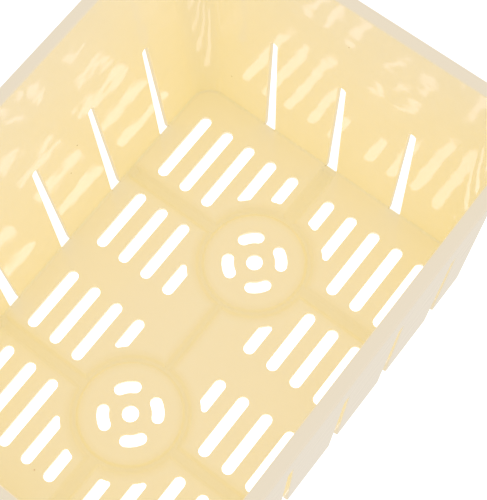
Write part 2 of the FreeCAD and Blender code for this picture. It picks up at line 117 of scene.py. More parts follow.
# ---------------------------------------------------------------- how finely curves are divided
STEP = 1e-4              # for slopes by differences
SAME = 1e-6              # closer points are one point
TOP_HALF_STEP = 3        # half of the distance between the points along a wall's top
CAP_GAP = 0.5            # from the last level on a wall slot's side to its round end
LEVEL_GAP = 1.0          # from the highest level to the loose points above it
MERGE = 1e-7             # the triangulation's own tolerance
DIGITS = 6               # decimals that tell points apart
EDGE_STEPS = 4           # across a slot's rounded edge
ARC_STEP = math.radians(1.5)
CIRCLE_STEPS = 240
SLOT_END_POINTS = 17
FILLET_POINTS = 9
COLLAR_POINTS = 7
CORNER_ANGLES = np.linspace(0, math.pi / 2, 17)
ARC_SLOT_OUTER_POINTS = 12
ARC_SLOT_INNER_POINTS = 8
ARC_SLOT_END_POINTS = 13
HOLE_POINTS = 48
RING_ROWS = 15
GUTTER_ROWS = 33
GUTTER_SIDE_PIECES = 10  # of a panel's edge along a straight gutter
END_SIDE_PIECES = 12     # of a corner panel's edge along the end wall
LONG_SIDE_PIECES = 9     # of a corner panel's edge along the long wall
CENTRE_SIDE_PIECES = 16  # of a centre panel's edge along the long wall
MIDDLE_SIDE_PIECES = 6   # of a centre panel's edge along the gutter between the discs
RIM_EDGE_POINTS = 7
LONG_RIM_STATIONS = 25
END_RIM_STATIONS = 17
TOE_STEPS = 8
FACE_STEPS = 24
PANEL_SPACING = 4.0      # between the points inside a panel
DISC_SPACING = 2.5
ROW_SPACING = 0.87       # of the spacing, which makes nearly even triangles
CLEARANCE = 0.55         # of the spacing, kept to every line


def unit(vectors):
    return vectors / np.linalg.norm(vectors, axis=-1, keepdims=True)


# ---------------------------------------------------------------- pieces from points
class Shell:
    """A closed piece being put together: points, faces and a direction for each face corner."""

    def __init__(self):
        self.points = np.zeros((0, 3))
        self.faces = []
        self.corners = []

    def add_points(self, points):
        first = len(self.points)
        self.points = np.vstack([self.points, points])
        return first

    def add_faces(self, faces, directions):
        """directions maps a point's index to the way the surface faces there."""
        for face in faces:
            normals = [directions[i] for i in face]
            a, b, c = (self.points[face[i]] for i in (0, 1, 2))
            facing = np.cross(b - a, c - a)
            if len(face) == 4:
                facing = facing + np.cross(c - a, self.points[face[3]] - a)
            if facing @ np.sum(normals, axis=0) < 0:
                face = face[::-1]
                normals = normals[::-1]
            self.faces.append(tuple(face))
            self.corners.append(dict(zip(face, normals)))

    def add_both(self, faces, firsts, directions):
        """Adds the faces once over the upper points and once over the lower ones."""
        for first, facing in zip(firsts, directions):
            lookup = {first + i: facing[i] for i in range(len(facing))}
            self.add_faces([[first + i for i in face] for face in faces], lookup)

    def write(self, node, material):
        """Makes the piece that stands for the CAD node."""
        mesh = bpy.data.meshes.new(f"{node}_moulded")
        mesh.from_pydata((self.points * MM).tolist(), [], self.faces)
        solid = bmesh.new()
        solid.from_mesh(mesh)
        bmesh.ops.recalc_face_normals(solid, faces=solid.faces)
        solid.to_mesh(mesh)
        solid.free()
        mesh.polygons.foreach_set("use_smooth", [True] * len(mesh.polygons))
        mesh.normals_split_custom_set([
            self.corners[face.index][vertex] for face in mesh.polygons for vertex in face.vertices])
        mesh.materials.append(material)
        piece = bpy.data.objects.new(f"{node}_moulded", mesh)
        bpy.context.scene.collection.objects.link(piece)
        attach(piece, "root")
        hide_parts(node)


class Sheet:
    """Two faces of plastic over one chart: upper(uv) and lower(uv) give points in space."""

    def __init__(self, upper, lower):
        self.faces = (upper, lower)

    def lay(self, shell, uv, drop, turn, edge_way):
        """Adds both faces' points. Returns their first indices and their directions.

        drop sinks a point below its face and turn swings its direction towards edge_way,
        a way on the chart, for the rounding along a slot.
        """
        here = [face(uv) for face in self.faces]
        firsts, directions = [], []
        for face, point, other in zip(self.faces, here, here[::-1]):
            along_u = (face(uv + (STEP, 0)) - point) / STEP
            along_v = (face(uv + (0, STEP)) - point) / STEP
            normal = unit(np.cross(along_u, along_v))
            if np.sum(normal * (point - other)) < 0:
                normal = -normal
            way = along_u * edge_way[:, :1] + along_v * edge_way[:, 1:]
            length = np.linalg.norm(way, axis=1, keepdims=True)
            way = way / np.where(length > 0, length, 1)
            firsts.append(shell.add_points(point - normal * drop[:, None]))
            directions.append(normal * np.cos(turn)[:, None] + way * np.sin(turn)[:, None])
        return firsts, directions

    def way(self, uv, chart_way):
        """The chart way in space at each point, on the middle of the sheet."""
        upper = (self.faces[0](uv + chart_way * STEP) - self.faces[0](uv)) / STEP
        lower = (self.faces[1](uv + chart_way * STEP) - self.faces[1](uv)) / STEP
        return unit(upper + lower)


def inside(points, loop):
    """True for each point that the closed loop surrounds."""
    x, y = points[:, 0][:, None], points[:, 1][:, None]
    x0, y0 = loop[:, 0], loop[:, 1]
    x1, y1 = np.roll(x0, -1), np.roll(y0, -1)
    spans = (y0 > y) != (y1 > y)
    with np.errstate(divide="ignore", invalid="ignore"):
        reach = x0 + (y - y0) * (x1 - x0) / (y1 - y0)
    return (np.sum(spans & (x < reach), axis=1) % 2) == 1


def seeds(outline, holes, spacing):
    """Rows of points inside the outline that keep clear of every line."""
    low, high = outline.min(0), outline.max(0)
    columns = np.arange(low[0], high[0], spacing)
    rows = np.arange(low[1], high[1], spacing * ROW_SPACING)
    grid = np.array([(u + (k % 2) * spacing / 2, v) for k, v in enumerate(rows) for u in columns])
    lines = np.vstack([outline, *holes])
    keep = inside(grid, outline)
    for hole in holes:
        keep &= ~inside(grid, hole)
    grid = grid[keep]
    gap = np.array([np.min(np.hypot(*(lines - point).T)) for point in grid])
    return grid[gap > spacing * CLEARANCE]


def fill(outline, holes, extra, ties):
    """Triangles over the outline less its holes. Indices run over outline, holes, extra."""
    points = np.vstack([outline, *holes, extra])
    edges = list(ties)
    first = 0
    for loop in (outline, *holes):
        count = len(loop)
        edges += [(first + i, first + (i + 1) % count) for i in range(count)]
        first += count
    _, _, triangles, origin, _, _ = delaunay_2d_cdt(
        [Vector(p) for p in points], edges, [], 0, MERGE)
    where = [o[0] for o in origin]
    corners = np.array([[where[i] for i in t] for t in triangles])
    middle = points[corners].mean(1)
    keep = inside(middle, outline)
    for hole in holes:
        keep &= ~inside(middle, hole)
    return corners[keep].tolist()


class Chart:
    """Chart points of a region. Each has a drop, a swing and a way; see Sheet.lay."""

    def __init__(self):
        self.points, self.drops, self.swings, self.ways = [], [], [], []
        self.count = 0

    def add(self, points, drop=0.0, swing=0.0, ways=None):
        """Adds points and returns their indices."""
        self.points.append(points)
        self.drops.append(np.full(len(points), drop))
        self.swings.append(np.full(len(points), swing))
        self.ways.append(np.zeros((len(points), 2)) if ways is None else ways)
        self.count += len(points)
        return np.arange(self.count - len(points), self.count)

    def add_slot(self, line, into):
        """Adds a slot's rounded edge and returns its rings, from the slot outwards."""
        rings = []
        for k in range(EDGE_STEPS + 1):
            turn = math.pi / 2 * (1 - k / EDGE_STEPS)
            inset = EDGE_RADIUS * (1 - math.sin(turn))
            drop = EDGE_RADIUS * (1 - math.cos(turn))
            rings.append(self.add(line + into * inset, drop, turn, -into))
        return rings


def chart_outline(chart, outline, open_rings):
    """Indices around the outline and, for each, whether the region is cut off after it."""
    rim_points, rim_index, cut = [], [], []
    for entry in outline:
        if isinstance(entry[0], str):
            ring = open_rings[entry[1]]
            rim_index.extend(ring)
            cut.extend([False] * (len(ring) - 1) + [True])
        else:
            rim_index.append(chart.count + len(rim_points))
            rim_points.append(entry)
            cut.append(True)
    chart.add(np.array(rim_points, float))
    return np.array(rim_index), cut


def plate(node, sheet, material, outline, slots=(), open_slots=(), spacing=PANEL_SPACING, levels=()):
    """A region drawn on a chart, with rounded closed slots and slots that open at its foot.

    outline is a list of points, or of ("slot", k) where open slot k interrupts the foot.
    A slot is its line's points and, at each, the way into the plastic. levels are heights
    that the triangles keep to, from one slot to the next.
    """
    shell = Shell()
    chart = Chart()
    bands = [chart.add_slot(line, into) for line, into in (*slots, *open_slots)]
    closed_rings = [rings[-1] for rings in bands[:len(slots)]]
    open_rings = [rings[-1] for rings in bands[len(slots):]]
    rim_index, cut = chart_outline(chart, outline, open_rings)

    known = np.vstack(chart.points)
    loop = known[rim_index]
    holes = [known[ring] for ring in closed_rings]
    extra = seeds(loop, holes, spacing)
    if len(levels):
        extra = extra[extra[:, 1] > max(levels) + LEVEL_GAP]
    ties = []
    position = {tuple(np.round(p, DIGITS)): i for i, p in enumerate(loop)}
    for level in levels:
        row = sorted((p[0], i) for p, i in position.items() if abs(p[1] - level) < SAME)
        ties += [(a[1], b[1]) for a, b in zip(row[::2], row[1::2])]
    triangles = fill(loop, holes, extra, ties)
    to_all = np.concatenate([rim_index, *closed_rings, chart.add(extra)])
    uv, way = np.vstack(chart.points), np.vstack(chart.ways)
    faces = [[to_all[i] for i in t] for t in triangles]
    for k, rings in enumerate(bands):
        closed = k < len(slots)
        for inner, outer in zip(rings, rings[1:]):
            last = len(inner) if closed else len(inner) - 1
            for i in range(last):
                j = (i + 1) % len(inner)
                faces.append([inner[i], inner[j], outer[j], outer[i]])

    drop, swing = np.concatenate(chart.drops), np.concatenate(chart.swings)
    firsts, directions = sheet.lay(shell, uv, drop, swing, way)
    shell.add_both(faces, firsts, directions)

    def wall_between(indices, chart_ways, closed=False):
        """Faces from the upper to the lower points along a line of chart points."""
        facing = sheet.way(uv[indices], chart_ways)
        last = len(indices) if closed else len(indices) - 1
        for i in range(last):
            j = (i + 1) % len(indices)
            a, b = indices[i], indices[j]
            quad = [firsts[0] + a, firsts[0] + b, firsts[1] + b, firsts[1] + a]
            shell.add_faces([quad], dict(zip(quad, (facing[i], facing[j], facing[j], facing[i]))))

    for k, rings in enumerate(bands):
        wall_between(rings[0], way[rings[0]], k < len(slots))
    area = np.sum(loop[:, 0] * np.roll(loop[:, 1], -1) - np.roll(loop[:, 0], -1) * loop[:, 1])
    for i, is_cut in enumerate(cut):
        j = (i + 1) % len(rim_index)
        if is_cut:
            run = loop[j] - loop[i]
            outward = np.array([run[1], -run[0]]) * (1 if area > 0 else -1) / np.hypot(*run)
            wall_between(np.array([rim_index[i], rim_index[j]]), np.array([outward, outward]))
    downward = np.array([[0.0, -1.0]] * 2)
    for rings in bands[len(slots):]:
        for end in (0, -1):
            for inner, outer in zip(rings, rings[1:]):
                wall_between(np.array([inner[end], outer[end]]), downward)
    shell.write(node, material)


def grid_plate(node, sheet, material, chart, round_u=False):
    """A region with its chart points in a grid of shape rows, columns, 2. round_u closes it."""
    rows, columns = chart.shape[:2]
    shell = Shell()
    flat = chart.reshape(-1, 2)
    still = np.zeros(len(flat))
    firsts, directions = sheet.lay(shell, flat, still, still, np.zeros((len(flat), 2)))
    index = np.arange(rows * columns).reshape(rows, columns)
    spans = columns if round_u else columns - 1
    faces = []
    for r in range(rows - 1):
        for c in range(spans):
            d = (c + 1) % columns
            faces.append([index[r, c], index[r, d], index[r + 1, d], index[r + 1, c]])
    shell.add_both(faces, firsts, directions)

    def close(line, inner_line):
        outward = shell.points[firsts[0] + line] - shell.points[firsts[0] + inner_line]
        last = len(line) if (round_u and len(line) == columns) else len(line) - 1
        for i in range(last):
            j = (i + 1) % len(line)
            quad = [firsts[0] + line[i], firsts[0] + line[j], firsts[1] + line[j], firsts[1] + line[i]]
            lookup = {q: outward[i] for q in quad}
            shell.add_faces([quad], lookup)

    close(index[0], index[1])
    close(index[-1], index[-2])
    if not round_u:
        close(index[:, 0], index[:, 1])
        close(index[:, -1], index[:, -2])
    shell.write(node, material)


# ---------------------------------------------------------------- floor
def smooth(t):
    """Rises from 0 to 1 with no kink or change of curvature at either end."""
    t = np.clip(t, 0, 1)
    return t * t * t * (t * (6 * t - 15) + 10)


def floor_sink(xy):
    """How far the floor lies below its panels, which is only in the gutters."""
    x, y = np.abs(xy[:, 0]), np.abs(xy[:, 1])
    radius = np.hypot(x - DISC_X, y)
    middle = DISC_RADIUS + INNER_FLANK
    ring = np.where(radius < middle, (radius - DISC_RADIUS) / INNER_FLANK,
                    (RING_RADIUS - radius) / OUTER_FLANK)
    cross = np.minimum(np.minimum(x - CROSS_LOW, CROSS_HIGH - x), HALF_WIDTH - TOE_GAP - y)
    end = np.minimum(END_HALF - y, HALF_LENGTH - TOE_GAP - x)
    along = np.where(x > DISC_X, end, CENTRE_HALF - y)
    bands = np.where(radius > middle, np.maximum(cross, along) / OUTER_FLANK, -1)
    return GUTTER_DEPTH * smooth(np.maximum(ring, bands))


def floor_face(sign_x, sign_y, below):
    """The floor's top, or a face that far below it, over the quarter with those signs."""
    def face(uv):
        z = FLOOR_TOP - below - floor_sink(uv)
        return np.column_stack([sign_x * uv[:, 0], sign_y * uv[:, 1], z])
    return face


def floor_sheet(sign_x=1, sign_y=1):
    return Sheet(floor_face(sign_x, sign_y, 0), floor_face(sign_x, sign_y, FLOOR_THICKNESS))


def ring_angles(low, high):
    """Angles from low to high, both included, with the steps all neighbours share."""
    first = math.ceil(low / ARC_STEP + SAME)
    last = math.floor(high / ARC_STEP - SAME)
    return np.concatenate([[low], np.arange(first, last + 1) * ARC_STEP, [high]])


def on_circle(centre, radius, angles):
    return np.column_stack([centre[0] + radius * np.cos(angles),
                            centre[1] + radius * np.sin(angles)])


def straight(start, end, pieces):
    """Points from start up to, not including, end."""
    start, end = np.array(start), np.array(end)
    return [tuple(start + (end - start) * k / pieces) for k in range(pieces)]


def slot_line(pieces):
    """Joins arcs into one closed line, with the way into the plastic at each point.

    An arc is its centre, radius, first and last angle, number of points, and side: 1 where
    the plastic lies outside it and -1 where it lies inside.
    """
    points, ways = [], []
    for centre, radius, start, end, steps, side in pieces:
        for angle in np.linspace(start, end, steps):
            way = np.array([math.cos(angle), math.sin(angle)])
            point = np.array(centre) + radius * way
            if not points or math.dist(point, points[-1]) > SAME:
                points.append(point)
                ways.append(way * side)
    if math.dist(points[0], points[-1]) < SAME:
        points.pop()
        ways.pop()
    return np.array(points), np.array(ways)


def straight_slot(x0, x1, y):
    """Round-ended slot from x0 to x1."""
    half = math.pi / 2
    return slot_line([
        ((x1 - SLOT_HALF, y), SLOT_HALF, -half, half, SLOT_END_POINTS, 1),
        ((x0 + SLOT_HALF, y), SLOT_HALF, half, 3 * half, SLOT_END_POINTS, 1)])


def clipped_slot(far, y, side):
    """Slot whose end follows the plain collar around a disc.

    side is 1 between the disc and an end wall, and -1 between the two discs.
    """
    fillet = CLIP_ROUNDING
    reach = COLLAR_RADIUS + fillet
    low_y, high_y = y - SLOT_HALF + fillet, y + SLOT_HALF - fillet
    low = (DISC_X + side * math.sqrt(reach ** 2 - low_y ** 2), low_y)
    high = (DISC_X + side * math.sqrt(reach ** 2 - high_y ** 2), high_y)
    low_angle = math.atan2(low_y, low[0] - DISC_X)
    high_angle = math.atan2(high_y, high[0] - DISC_X)
    half = math.pi / 2
    far_centre = (far - side * SLOT_HALF, y)
    if side > 0:
        return slot_line([
            (far_centre, SLOT_HALF, -half, half, SLOT_END_POINTS, 1),
            (high, fillet, half, high_angle + math.pi, FILLET_POINTS, 1),
            ((DISC_X, 0), COLLAR_RADIUS, high_angle, low_angle, COLLAR_POINTS, -1),
            (low, fillet, low_angle + math.pi, 3 * half, FILLET_POINTS, 1)])
    return slot_line([
        (far_centre, SLOT_HALF, half, 3 * half, SLOT_END_POINTS, 1),
        (low, fillet, -half, low_angle - math.pi, FILLET_POINTS, 1),
        ((DISC_X, 0), COLLAR_RADIUS, low_angle, high_angle, COLLAR_POINTS, -1),
        (high, fillet, high_angle - math.pi, half, FILLET_POINTS, 1)])


def flip_u(slot):
    """The slot's mirror image in the tray's middle."""
    line, into = slot
    return line * (-1, 1), into * (-1, 1)


def corner_panel(material):
    """The four slotted panels between an end wall, a long wall and a disc."""
    low = math.asin(END_HALF / RING_RADIUS)
    high = math.acos((CROSS_HIGH - DISC_X) / RING_RADIUS)
    arc = on_circle((DISC_X, 0), RING_RADIUS, ring_angles(low, high))[::-1]
    turn = on_circle((LONG_RUN, END_RUN), CORNER_RADIUS, CORNER_ANGLES)
    outline = [tuple(p) for p in arc]
    outline += straight(arc[-1], (HALF_LENGTH, END_HALF), GUTTER_SIDE_PIECES)[1:]
    outline += straight((HALF_LENGTH, END_HALF), (HALF_LENGTH, END_RUN), END_SIDE_PIECES)
    outline += [tuple(p) for p in turn]
    outline += straight((LONG_RUN, HALF_WIDTH), (CROSS_HIGH, HALF_WIDTH), LONG_SIDE_PIECES)[1:]
    outline += straight((CROSS_HIGH, HALF_WIDTH), arc[0], GUTTER_SIDE_PIECES)
    slots = []
    for row in range(CORNER_ROWS):
        y = FIRST_ROW + row * ROW_PITCH
        if y - SLOT_HALF < COLLAR_RADIUS:
            slots.append(clipped_slot(CORNER_SLOT[1], y, 1))
        else:
            slots.append(straight_slot(*CORNER_SLOT, y))
    for back, sign_y in (("back", 1), ("front", -1)):
        for right, sign_x in (("right", 1), ("left", -1)):
            sheet = floor_sheet(sign_x, sign_y)
            plate(f"floor_grille_{back}_{right}", sheet, material, outline, slots)


def centre_panel(material):
    """The two slotted panels between the discs and a long wall."""
    low = math.asin(CENTRE_HALF / RING_RADIUS)
    high = math.acos((DISC_X - CROSS_LOW) / RING_RADIUS)
    arc = on_circle((DISC_X, 0), RING_RADIUS, math.pi - ring_angles(low, high))
    mirrored = arc[::-1] * (-1, 1)
    outline = [tuple(p) for p in arc]
    outline += straight(arc[-1], (CROSS_LOW, HALF_WIDTH), GUTTER_SIDE_PIECES)[1:]
    outline += straight((CROSS_LOW, HALF_WIDTH), (-CROSS_LOW, HALF_WIDTH), CENTRE_SIDE_PIECES)
    outline += straight((-CROSS_LOW, HALF_WIDTH), mirrored[0], GUTTER_SIDE_PIECES)
    outline += [tuple(p) for p in mirrored]
    outline += straight(mirrored[-1], arc[0], MIDDLE_SIDE_PIECES)[1:]
    slots = []
    for row in range(1, CENTRE_ROWS + 1):
        y = FIRST_ROW + row * ROW_PITCH
        if y - SLOT_HALF < COLLAR_RADIUS:
            slot = clipped_slot(CENTRE_SLOT[0], y, -1)
        else:
            slot = straight_slot(*CENTRE_SLOT, y)
        slots += [slot, flip_u(slot)]
    for back, sign_y in (("back", 1), ("front", -1)):
        sheet = floor_sheet(1, sign_y)
        plate(f"floor_grille_{back}_centre", sheet, material, outline, slots)


def vent_disc(material):
    """Both discs, each with a hole and four curved slots on its diagonals."""
    angles = np.arange(CIRCLE_STEPS) * ARC_STEP
    outline = [tuple(p) for p in on_circle((DISC_X, 0), DISC_RADIUS, angles)]
    hole_end = 2 * math.pi * (HOLE_POINTS - 1) / HOLE_POINTS
    slots = [slot_line([((DISC_X, 0), DISC_HOLE, 0, hole_end, HOLE_POINTS, 1)])]
    for quarter in range(4):
        middle = math.pi / 4 + quarter * math.pi / 2
        first, last = middle - ARC_SLOT_HALF_ANGLE, middle + ARC_SLOT_HALF_ANGLE
        caps = on_circle((DISC_X, 0), ARC_SLOT_RADIUS, np.array([first, last]))
        slots.append(slot_line([
            ((DISC_X, 0), ARC_SLOT_RADIUS + SLOT_HALF, first, last, ARC_SLOT_OUTER_POINTS, 1),
            (caps[1], SLOT_HALF, last, last + math.pi, ARC_SLOT_END_POINTS, 1),
            ((DISC_X, 0), ARC_SLOT_RADIUS - SLOT_HALF, last, first, ARC_SLOT_INNER_POINTS, -1),
            (caps[0], SLOT_HALF, first - math.pi, first, ARC_SLOT_END_POINTS, 1)]))
    for right, sign_x in (("right", 1), ("left", -1)):
        sheet = floor_sheet(sign_x)
        plate(f"vent_disc_{right}", sheet, material, outline, slots, spacing=DISC_SPACING)


def ring_gutter(material):
    """The gutters around the discs, with points where the other gutters join them."""
    joins = [math.asin(END_HALF / RING_RADIUS), math.acos((CROSS_HIGH - DISC_X) / RING_RADIUS),
             math.pi - math.acos((DISC_X - CROSS_LOW) / RING_RADIUS),
             math.pi - math.asin(CENTRE_HALF / RING_RADIUS)]
    steps = np.arange(CIRCLE_STEPS) * ARC_STEP
    angles = np.unique(np.concatenate([steps, joins, 2 * math.pi - np.array(joins)]))
    radii = np.linspace(DISC_RADIUS, RING_RADIUS, RING_ROWS)
    chart = np.array([on_circle((DISC_X, 0), radius, angles) for radius in radii])
    for right, sign_x in (("right", 1), ("left", -1)):
        grid_plate(f"ring_gutter_{right}", floor_sheet(sign_x), material, chart, round_u=True)


def ladder(starts, ends, fractions):
    """Chart grid of rungs from each start to each end."""
    return np.array([starts + (ends - starts) * f for f in fractions])


def gutters(material):
    """The straight gutters, from a ring gutter to a wall or to the other ring gutter."""
    even = np.linspace(0, 1, GUTTER_ROWS)
    low = math.acos((CROSS_HIGH - DISC_X) / RING_RADIUS)
    high = math.acos((CROSS_LOW - DISC_X) / RING_RADIUS)
    starts = on_circle((DISC_X, 0), RING_RADIUS, ring_angles(low, high))
    ends = np.column_stack([starts[:, 0], np.full(len(starts), HALF_WIDTH)])
    for back, sign_y in (("back", 1), ("front", -1)):
        for right, sign_x in (("right", 1), ("left", -1)):
            sheet = floor_sheet(sign_x, sign_y)
            rungs = ladder(starts, ends, even)
            grid_plate(f"cross_gutter_{back}_{right}", sheet, material, rungs)
    half = math.asin(END_HALF / RING_RADIUS)
    starts = on_circle((DISC_X, 0), RING_RADIUS, ring_angles(-half, half))
    ends = np.column_stack([np.full(len(starts), HALF_LENGTH), starts[:, 1]])
    for right, sign_x in (("right", 1), ("left", -1)):
        rungs = ladder(starts, ends, even)
        grid_plate(f"end_gutter_{right}", floor_sheet(sign_x), material, rungs)
    half = math.asin(CENTRE_HALF / RING_RADIUS)
    starts = on_circle((DISC_X, 0), RING_RADIUS, math.pi - ring_angles(-half, half))
    grid_plate("centre_gutter", floor_sheet(), material, ladder(starts, starts * (-1, 1), even))


# ---------------------------------------------------------------- walls
TOE_TURN = math.atan2(1, SLOPE)
TIP = FLOOR_TOP - WALL_FOOT          # chart height of the floor's top
ARC_START = TIP + TOE_GAP
ARC_END = ARC_START + TOE * TOE_TURN
TOE_HIGH = FLOOR_TOP + TOE * (1 - math.cos(TOE_TURN))
CHART_TOP = ARC_END + WALL_TOP - TOE_HIGH


def wall_inner(w):
    """Reach and height of the wall's inside at chart height w: foot, toe fillet, face."""
    turn = np.clip((w - ARC_START) / TOE, 0, TOE_TURN)
    above = np.maximum(w - ARC_END, 0)
    reach = -np.clip(w - TIP, 0, TOE_GAP) + TOE * np.sin(turn) + SLOPE * above
    height = WALL_FOOT + np.minimum(w, TIP) + TOE * (1 - np.cos(turn)) + above
    return reach, height


def wall_outer(w):
    """Reach and height of the wall's outside, with the heel's rounding at its foot."""
    beside_toe = WALL_FOOT + HEEL + (w - HEEL) * (TOE_HIGH - WALL_FOOT - HEEL) / (ARC_END - HEEL)
    height = np.where(w < HEEL, WALL_FOOT + w,
                      np.where(w < ARC_END, beside_toe, TOE_HIGH + w - ARC_END))
    rise = np.clip(height - WALL_FOOT, 0, HEEL)
    round_off = HEEL - np.sqrt(HEEL ** 2 - (HEEL - rise) ** 2)
    return WALL + SLOPE * (height - FLOOR_TOP) - round_off, height


def wall_sheet(place):
    """place(along, reach, height) gives points in space."""
    def inner(uv):
        return place(uv[:, 0], *wall_inner(uv[:, 1]))

    def outer(uv):
        return place(uv[:, 0], *wall_outer(uv[:, 1]))
    return Sheet(inner, outer)


# Chart heights that every wall piece shares, so that neighbours meet point to point.
HEEL_ANGLES = (0, 15, 30, 45, 60, 75, 90)
FOOT_LEVELS = [HEEL * (1 - math.cos(math.radians(angle))) for angle in HEEL_ANGLES]
FOOT_LEVELS += [TIP, ARC_START]
FOOT_LEVELS += [ARC_START + TOE * TOE_TURN * k / TOE_STEPS for k in range(1, TOE_STEPS + 1)]
FACE_LEVELS = [ARC_END + (CHART_TOP - ARC_END) * k / FACE_STEPS for k in range(1, FACE_STEPS + 1)]


def wall_slot(middle):
    """Tapered slot, open at the wall's foot: its line and ways into the plastic."""
    top = ARC_END + FLOOR_TOP + WALL_SLOT_HEIGHT - WALL_SLOT_TOP - TOE_HIGH
    tilt = math.acos(WALL_SLOT_TOP / math.hypot(WALL_SLOT_FOOT, top))
    tilt -= math.atan2(top, WALL_SLOT_FOOT)
    tangent = top + WALL_SLOT_TOP * math.sin(tilt)
    lower = [level for level in FACE_LEVELS if level < tangent - CAP_GAP]
    levels = np.array(FOOT_LEVELS + lower)
    half = WALL_SLOT_FOOT - levels * math.tan(tilt)
    arc = np.linspace(tilt, math.pi - tilt, SLOT_END_POINTS)
    right = np.column_stack([middle + half, levels])
    cap = on_circle((middle, top), WALL_SLOT_TOP, arc)
    left = np.column_stack([middle - half[::-1], levels[::-1]])
    sideways = np.array([[1 / math.cos(tilt), 0.0]] * len(levels))
    ways = np.vstack([sideways, np.column_stack([np.cos(arc), np.sin(arc)]), -sideways])
    line = np.vstack([right, cap, left])
    return line[::-1], ways[::-1]


def slotted_wall(node, place, run, count, material):
    """Straight wall from -run to run, with count slots about its middle."""
    side_levels = (FOOT_LEVELS + FACE_LEVELS)[1:]
    outline = [(-run, 0.0)]
    outline += [("slot", k) for k in range(count)]
    outline.append((run, 0.0))
    outline += [(run, level) for level in side_levels]
    outline += straight((run, CHART_TOP), (-run, CHART_TOP), int(run / TOP_HALF_STEP))[1:]
    outline += [(-run, level) for level in side_levels[::-1]]
    slots = [wall_slot((k - (count - 1) / 2) * WALL_SLOT_PITCH) for k in range(count)]
    plate(node, wall_sheet(place), material, outline, open_slots=slots, levels=FOOT_LEVELS[1:])


def along_side(axis, sign, base):
    """Places a straight side: axis 0 runs along X and stands out along Y, 1 the other way."""
    def place(along, reach, height):
        out = sign * (base + reach)
        return np.column_stack([along, out, height] if axis == 0 else [out, along, height])
    return place


def around_corner(sign_x, sign_y):
    def place(angle, reach, height):
        radius = CORNER_RADIUS + reach
        return np.column_stack([sign_x * (LONG_RUN + radius * np.cos(angle)),
                                sign_y * (END_RUN + radius * np.sin(angle)), height])
    return place


def walls(material):
    for back, sign in (("back", 1), ("front", -1)):
        side = along_side(0, sign, HALF_WIDTH)
        slotted_wall(f"long_wall_{back}", side, LONG_RUN, LONG_WALL_SLOTS, material)
    for right, sign in (("right", 1), ("left", -1)):
        side = along_side(1, sign, HALF_LENGTH)
        slotted_wall(f"end_wall_{right}", side, END_RUN, END_WALL_SLOTS, material)
    levels = FOOT_LEVELS + FACE_LEVELS
    chart = np.array([[(angle, level) for angle in CORNER_ANGLES] for level in levels])
    for back, sign_y in (("back", 1), ("front", -1)):
        for right, sign_x in (("right", 1), ("left", -1)):
            sheet = wall_sheet(around_corner(sign_x, sign_y))
            grid_plate(f"corner_post_{back}_{right}", sheet, material, chart)


# ---------------------------------------------------------------- rim
def rim_section():
    """The rim's outline as spans. A point is its reach, its height and the way it faces."""
    low_in = SLOPE * (WALL_TOP - FLOOR_TOP)
    high_in = SLOPE * (RIM_TOP - FLOOR_TOP)
    lean = math.atan(SLOPE)

    def corner(reach, height, start, end):
        return [(reach + RIM_EDGE * math.cos(a), height + RIM_EDGE * math.sin(a),
                 math.cos(a), math.sin(a)) for a in np.linspace(start, end, RIM_EDGE_POINTS)]

    half = math.pi / 2
    centre_in = high_in + RIM_EDGE * (STRETCH - SLOPE)
    inner = corner(centre_in, RIM_TOP - RIM_EDGE, math.pi - lean, half)
    face = [(low_in, WALL_TOP, -math.cos(lean), math.sin(lean)), inner[0]]
    lip_high = corner(LIP - RIM_EDGE, RIM_TOP - RIM_EDGE, half, 0)
    lip_low = corner(LIP - RIM_EDGE, WALL_TOP + RIM_EDGE, 0, -half)
    return [face, inner, [inner[-1], lip_high[0]], lip_high, [lip_high[-1], lip_low[0]], lip_low,
            [lip_low[-1], (low_in, WALL_TOP, 0, -1)]]


def rim(node, place, stations, material):
    """Sweeps the rim's section through the stations and closes both ends."""
    shell = Shell()
    section = []
    for span in rim_section():
        section += [p for p in span if not section or math.dist(p[:2], section[-1][:2]) > SAME]
    section = section[:-1] if math.dist(section[0][:2], section[-1][:2]) < SAME else section
    count = len(section)
    reach, height = (np.array([p[i] for p in section]) for i in (0, 1))
    for at in stations:
        shell.add_points(place(np.full(count, at), reach, height))

    def facing(at, point):
        """The way that the section's point faces at a station."""
        reach, height, way_out, way_up = point
        here = place(np.array([at]), np.array([reach]), np.array([height]))
        there = place(np.array([at]), np.array([reach + way_out]), np.array([height + way_up]))
        return (there - here)[0]

    index = {tuple(np.round(p[:2], DIGITS)): k for k, p in enumerate(section)}
    for span in rim_section():
        for a, b in zip(span, span[1:]):
            i, j = (index[tuple(np.round(p[:2], DIGITS))] for p in (a, b))
            for s, (at, following) in enumerate(zip(stations, stations[1:])):
                low, high = s * count, (s + 1) * count
                lookup = {low + i: facing(at, a), low + j: facing(at, b),
                          high + j: facing(following, b), high + i: facing(following, a)}
                shell.add_faces([list(lookup)], lookup)
    for first, second in ((0, 1), (len(stations) - 1, len(stations) - 2)):
        outward = shell.points[first * count] - shell.points[second * count]
        ring = [first * count + k for k in range(count)]
        loop = shell.points[ring] - shell.points[ring[0]]
        if sum(np.cross(p, q) for p, q in zip(loop[1:], np.roll(loop, -1, axis=0)[1:])) @ outward < 0:
            ring = ring[::-1]
        shell.faces.append(tuple(ring))
        shell.corners.append({q: unit(outward) for q in ring})
    shell.write(node, material)


